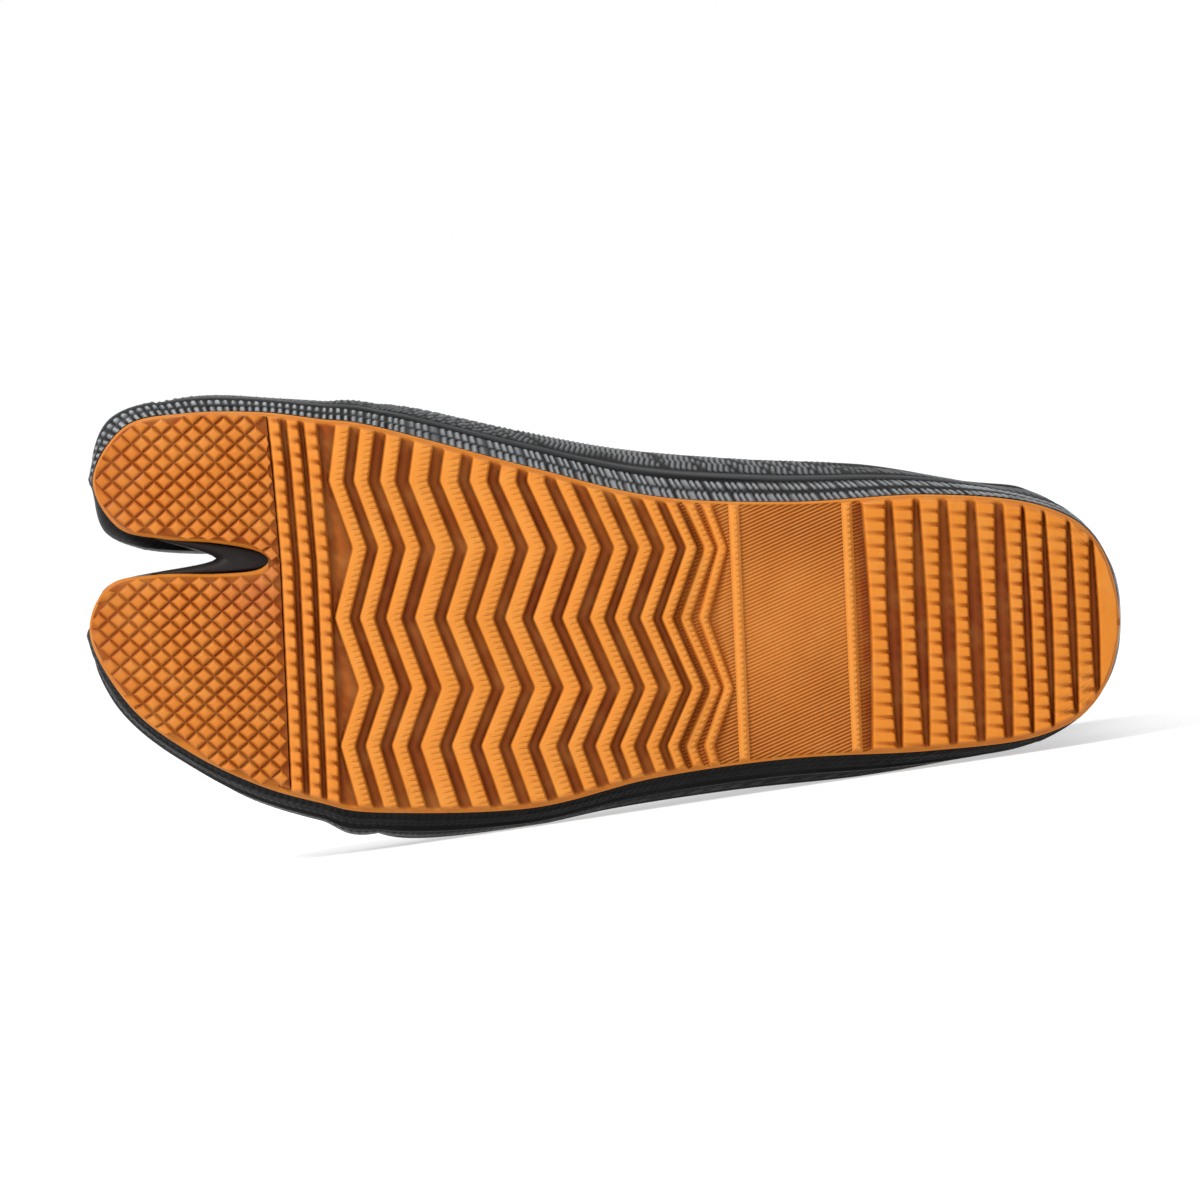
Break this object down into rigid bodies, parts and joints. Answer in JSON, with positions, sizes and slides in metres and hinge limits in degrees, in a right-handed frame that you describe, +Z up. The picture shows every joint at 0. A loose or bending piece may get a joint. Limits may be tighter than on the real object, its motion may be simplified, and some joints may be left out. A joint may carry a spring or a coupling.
{
  "type": "jika_tabi",
  "caption": "Jika tabi: a black canvas split-toe work shoe with an amber rubber zigzag sole and a fastened shaft, lying on its outer side with the sole in view.",
  "frame": {"origin": "on the floor under the middle of the lying shoe's bounding box", "axes": "+Z up; the shoe's length runs along X with the toes towards -X; the sole faces -Y and the collar opens towards +Y; the big toe side is up"},
  "size_m": [0.268, 0.1496, 0.1233],
  "materials": {
    "amber_rubber": "smooth amber gum rubber, knurled bars",
    "black_rubber": "matt black rubber with fine ribs",
    "black_canvas": "woven cotton canvas",
    "flap_canvas": "woven cotton canvas, stitched edge",
    "black_tape": "woven tape",
    "insole_cloth": "undyed cotton cloth",
    "brass": "pressed brass tabs"
  },
  "bodies": {
    "root": {"outsole": "amber_rubber", "upper": "black_canvas", "foxing": "black_rubber", "insole": "insole_cloth", "closure_flap": "flap_canvas", "back_stay": "black_tape", "kohaze_1": "brass", "kohaze_2": "brass", "kohaze_3": "brass", "kohaze_4": "brass", "kohaze_5": "brass"}
  },
  "joints": []
}
